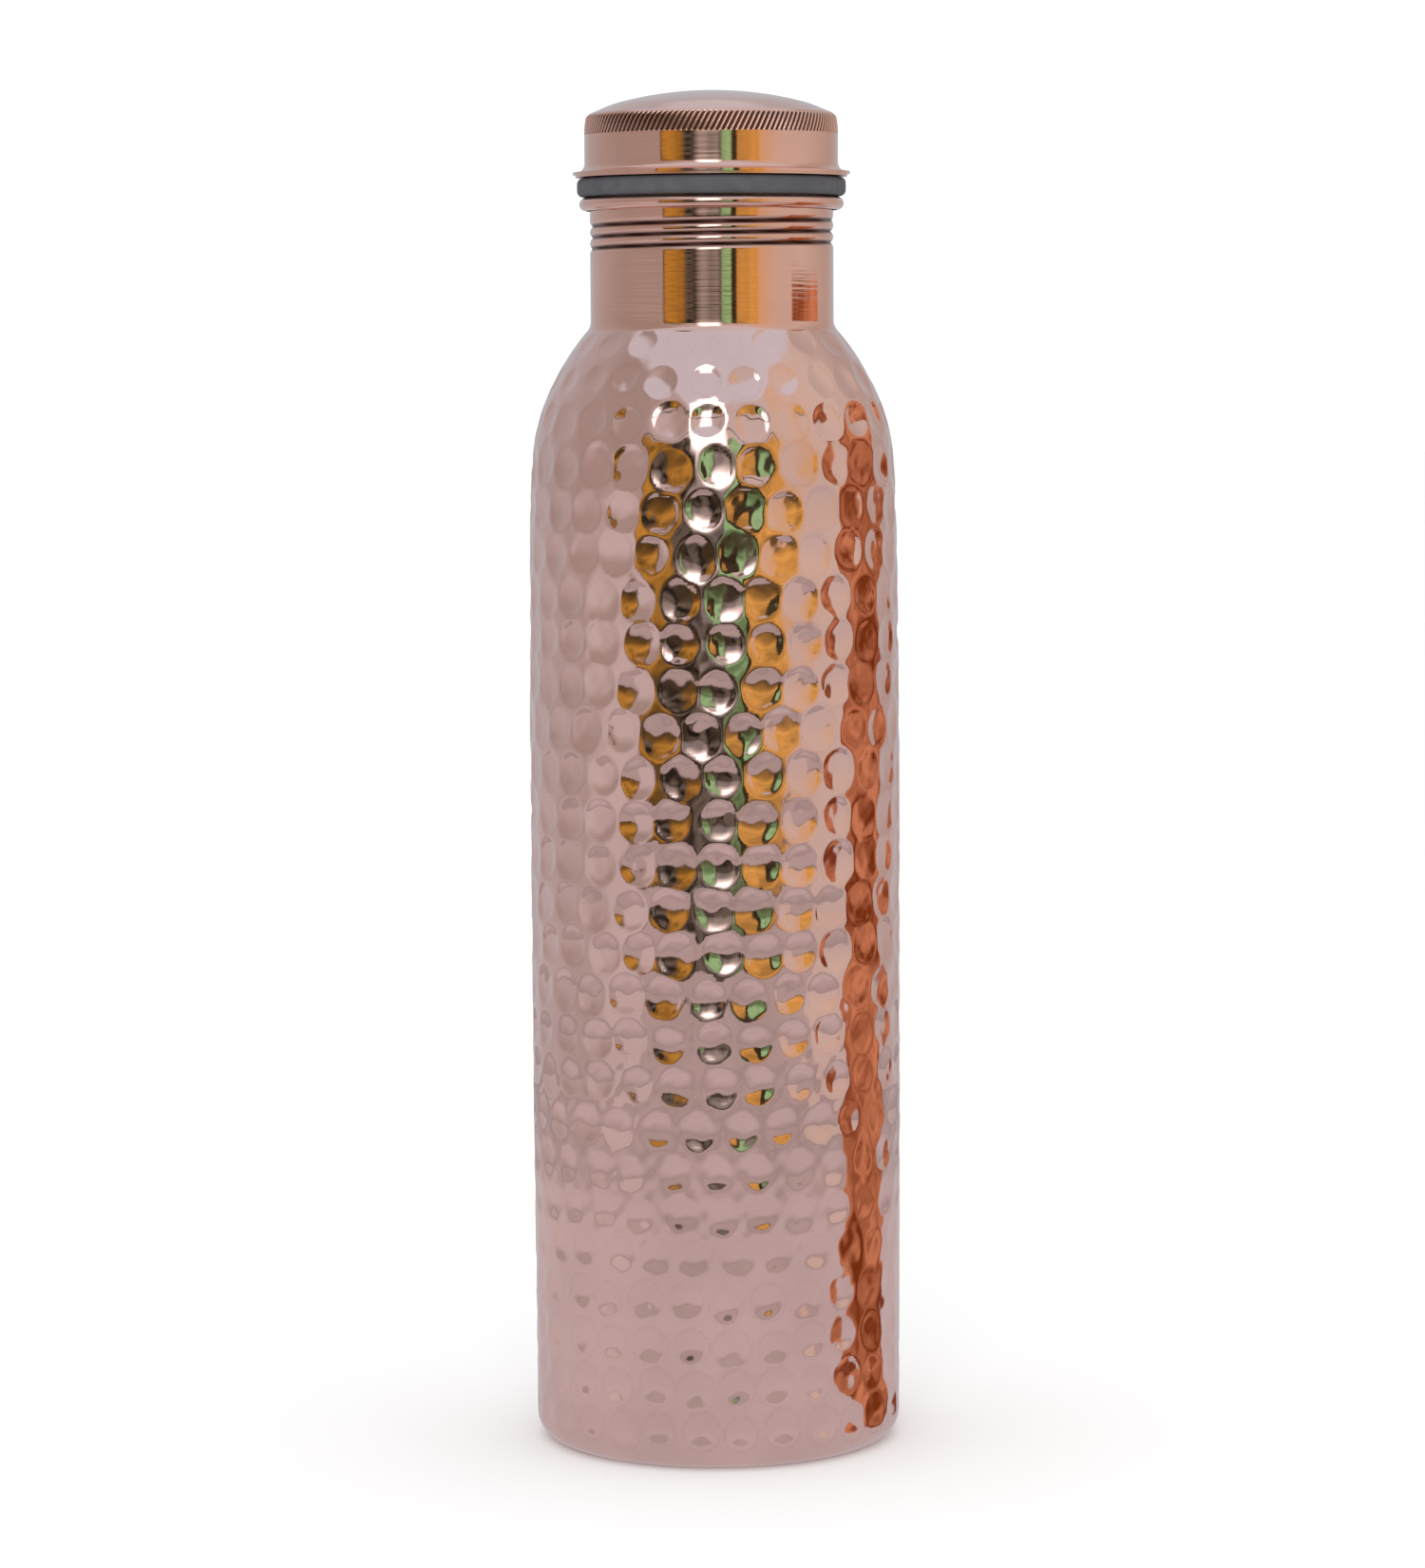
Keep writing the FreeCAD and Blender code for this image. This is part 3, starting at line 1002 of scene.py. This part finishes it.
def soft_glow(name, colour, strength, across, up):
    """A plain glow that fades: across and up are (position, opacity) stops over the card."""
    glow = Glow(name)
    place = glow.split(glow.coordinates("Generated"))
    across = glow.ramp(place.outputs["X"], [(at, (share,) * 3) for at, share in across])
    up = glow.ramp(place.outputs["Z"], [(at, (share,) * 3) for at, share in up])
    glow.emission.inputs["Color"].default_value = (*colour, 1.0)
    glow.emission.inputs["Strength"].default_value = strength
    clear = glow.add("ShaderNodeBsdfTransparent")
    mix = glow.add("ShaderNodeMixShader")
    glow.link(glow.calculate("MULTIPLY", across, up), mix.inputs["Fac"])
    glow.link(clear.outputs["BSDF"], mix.inputs[1])
    glow.link(glow.emission.outputs["Emission"], mix.inputs[2])
    glow.finish(mix.outputs["Shader"])
    return glow.material


def only_for_reflections(face):
    """Leaves a staged face to glossy rays alone."""
    face.visible_camera = False
    face.visible_diffuse = False
    face.visible_shadow = False
    face.visible_transmission = False
    face.visible_volume_scatter = False


def round_the_bottle(azimuth, distance, z):
    """A place in the studio, by its azimuth, its distance from the axis and its height."""
    turn = math.radians(azimuth)
    return distance * math.sin(turn), -distance * math.cos(turn), z


def card(name, azimuths, heights, distance, material):
    """An upright card round the bottle, from one azimuth to another."""
    left, right = azimuths
    low, high = heights
    edges = ((left, low), (right, low), (right, high), (left, high))
    corners = [round_the_bottle(azimuth, distance, z) for azimuth, z in edges]
    only_for_reflections(staged_face(name, corners, material))


def tent_floor():
    """The round of floor that the metal sees: bright, a little darker close round the bottle as a painted
    shadow of it, and dimmer towards the tent's walls.
    """
    glow = Glow("tent_floor")
    length = glow.add("ShaderNodeVectorMath")
    length.operation = "LENGTH"
    glow.link(glow.coordinates("Object"), length.inputs[0])
    stops = [
        # A painted shadow of the bottle, darker close round its foot
        (0.03, shade(TENT_BRIGHT, 0.93)),
        (0.12, TENT_BRIGHT),
        (0.28, TENT_BRIGHT),
        (0.34, TENT_MIDDLE),
        (TENT_RADIUS - 0.01, TENT_DIM),
    ]
    glow.link(glow.ramp(length.outputs["Value"], stops), glow.emission.inputs["Color"])
    turns = np.radians(np.arange(0, 360, 5))
    rim = [(TENT_RADIUS * math.cos(turn), TENT_RADIUS * math.sin(turn), TENT_FLOOR_Z) for turn in turns]
    only_for_reflections(staged_face("tent_floor", rim, glow.material))


def tent_sill(shadow):
    """The low sill under the tent's opening, higher towards both sides, with a dark edge."""
    sill = mottled("tent_sill", (0.43, 0.39, 0.395), (0.46, 0.42, 0.43), 4.0)
    for azimuth in range(SILL_START, SILL_END, SILL_STEP):
        span = (azimuth, azimuth + SILL_STEP)
        height = SILL_HEIGHT + SILL_RISE * (azimuth / SILL_RISE_AZIMUTH) ** 2
        card("sill", span, (0.0, height), TENT_RADIUS, sill)
        card("sill_edge", span, (height, height + SILL_EDGE), TENT_RADIUS, shadow)


def beyond_the_opening(shadow):
    """The amber, dark and green areas beyond the tent's opening, with dark edges."""
    amber = mottled("amber_beyond", (0.17, 0.10, 0.02), (0.54, 0.30, 0.05), 1.2)
    bright_amber = mottled("bright_amber_beyond", (0.42, 0.25, 0.06), (0.80, 0.47, 0.12), 1.2)
    dark = mottled("dark_beyond", (0.010, 0.008, 0.007), (0.14, 0.13, 0.105), 3.0)
    green = mottled("green_beyond", (0.09, 0.18, 0.07), (0.33, 0.63, 0.31), 2.0)
    heights = (BEYOND_LOW, BEYOND_HIGH)
    card("edge_left", (-46.5, -45.5), heights, BEYOND, shadow)
    card("amber_left", (-45.5, -25), heights, BEYOND, amber)
    card("dark_middle", (-25, 9), heights, BEYOND, dark)
    card("green_right", (9, 18), heights, BEYOND, green)
    card("dark_right", (18, 23), heights, BEYOND, shadow)
    card("amber_right", (23, 44), heights, BEYOND, bright_amber)
    card("edge_top", (-46.5, 44), (BEYOND_HIGH, BEYOND_HIGH + BEYOND_EDGE), BEYOND, shadow)


def dusk():
    """Darkness over the low part of what lies beyond the opening, highest on the left."""
    glow = soft_glow(
        "dusk_beyond", (0.045, 0.032, 0.014), 1.0,
        across=[(0.0, 1.0), (1.0, 1.0)],
        up=[(0.0, 0.95), (0.62, 0.88), (0.88, 0.25), (1.0, 0.0)])
    for azimuth, top in DUSK_TOPS:
        card("dusk", (azimuth, azimuth + DUSK_WIDTH), (BEYOND_LOW, top), DUSK_DISTANCE, glow)


def amber_glow():
    """Amber light that fades out over the tent's wall, right of the opening."""
    glow = soft_glow(
        "amber_glow", (0.74, 0.42, 0.12), 1.0,
        across=[(0.0, 0.6), (0.2, 0.25), (0.6, 0.10), (1.0, 0.0)],
        up=[(0.0, 1.0), (1.0, 1.0)])
    card("amber_glow", (44, 62), (BEYOND_LOW, GLOW_TOP), BEYOND, glow)


def window():
    """A tall soft window in the middle, brighter upwards."""
    glow = soft_glow(
        "window_light", (1.0, 1.0, 1.0), 2.3,
        across=[(0.0, 0.0), (0.22, 1.0), (0.80, 1.0), (1.0, 0.0)],
        up=[(0.0, 0.0), (0.04, 0.07), (0.15, 0.11), (0.24, 0.34), (0.37, 1.0)])
    card("window", (-16, 10), (0.02, 2.9), WINDOW_DISTANCE, glow)


def panel_left():
    """A low pale panel left of the opening."""
    glow = soft_glow(
        "panel_left", (0.56, 0.52, 0.53), 1.0,
        across=[(0.0, 0.0), (0.5, 1.0), (1.0, 1.0)],
        up=[(0.0, 1.0), (0.6, 1.0), (1.0, 0.0)])
    card("panel_left", (-84, -48), (0.0, PANEL_TOP), TENT_RADIUS, glow)


def terracotta_side():
    """A terracotta panel close by on the right, with a foot that reaches in over the floor."""
    terracotta = mottled("terracotta_side", (0.18, 0.038, 0.008), (0.60, 0.26, 0.135), 42.0)
    card("terracotta_side", TERRACOTTA_AZIMUTHS, (0.0, TERRACOTTA_TOP), TERRACOTTA_DISTANCE, terracotta)
    near, far = TERRACOTTA_FOOT_DISTANCE, TERRACOTTA_DISTANCE
    left, right = TERRACOTTA_AZIMUTHS
    edges = ((left, near), (left, far), (right, far), (right, near))
    corners = [round_the_bottle(azimuth, distance, TERRACOTTA_FOOT_Z) for azimuth, distance in edges]
    only_for_reflections(staged_face("terracotta_foot", corners, terracotta))


def tent():
    """What only the metal sees: the tent's floor and sill, and what its opening shows."""
    shadow = mottled("tent_shadow", (0.02, 0.015, 0.01), (0.05, 0.035, 0.02), 4.0)
    tent_floor()
    tent_sill(shadow)
    beyond_the_opening(shadow)
    dusk()
    amber_glow()
    window()
    panel_left()
    terracotta_side()


# ---------------------------------------------------------------- light

def soft_light():
    """One soft box behind and above the camera, which the metal doesn't reflect."""
    data = bpy.data.lights.new("soft_box", "AREA")
    data.shape = "RECTANGLE"
    data.size, data.size_y = SOFT_BOX_SIZE
    data.energy = SOFT_BOX_ENERGY
    lamp = bpy.data.objects.new("soft_box", data)
    lamp.location = SOFT_BOX_PLACE
    aim = Vector(SOFT_BOX_AIM) - lamp.location
    lamp.rotation_euler = aim.to_track_quat("-Z", "Y").to_euler()
    lamp.visible_glossy = False
    bpy.context.scene.collection.objects.link(lamp)


def tent_walls(tree):
    """The colour of the tent's walls, far floor and roof; in a world, places are ways a ray goes."""
    place = tree.coordinates("Generated")
    around = tree.add("ShaderNodeTexGradient")
    around.gradient_type = "RADIAL"
    tree.link(place, around.inputs["Vector"])
    stops = [(0.25 + azimuth / 360, colour) for azimuth, colour in TENT_WALLS]
    walls = tree.ramp(around.outputs["Fac"], stops)
    way = tree.split(place)
    sideways = tree.calculate("MULTIPLY", tree.calculate("ABSOLUTE", way.outputs["X"], 0.0), 0.35)
    overhead = tree.calculate("SUBTRACT", way.outputs["Z"], sideways)
    downward = tree.add("ShaderNodeMapRange", From_Min=0.04, From_Max=-0.25, To_Max=0.7)
    tree.link(way.outputs["Z"], downward.inputs["Value"])
    upward = tree.add("ShaderNodeMapRange", From_Min=0.55, From_Max=0.62, To_Max=1.0)
    tree.link(overhead, upward.inputs["Value"])
    walls = tree.mixed(downward.outputs["Result"], walls, TENT_BRIGHT)
    return tree.mixed(upward.outputs["Result"], walls, TENT_ROOF)


def room():
    """Even white light, which the metal sees as the tent's walls and roof."""
    world = bpy.data.worlds.new("room")
    bpy.context.scene.world = world
    tree = Tree(world)
    reflected = tree.nodes["Background"]
    tree.link(tent_walls(tree), reflected.inputs["Color"])
    even = tree.add("ShaderNodeBackground", Color=(1.0, 1.0, 1.0, 1.0), Strength=EVEN_LIGHT)
    rays = tree.add("ShaderNodeLightPath")
    choose = tree.add("ShaderNodeMixShader")
    tree.link(rays.outputs["Is Glossy Ray"], choose.inputs["Fac"])
    tree.link(even.outputs["Background"], choose.inputs[1])
    tree.link(reflected.outputs["Background"], choose.inputs[2])
    tree.link(choose.outputs["Shader"], tree.nodes["World Output"].inputs["Surface"])


bpy.context.scene.view_settings.view_transform = "Standard"
camera()
floor()
tent()
soft_light()
room()
hammered_body(hammered_copper())
turned_neck(turned_copper("turned_copper", 0.45))
pressed_base(satin_copper("satin_base_copper"))
domed_cap(turned_copper("turned_cap_copper", 0.4))
threaded_plug(satin_copper("satin_plug_copper"))
rubber_seal(silicone())
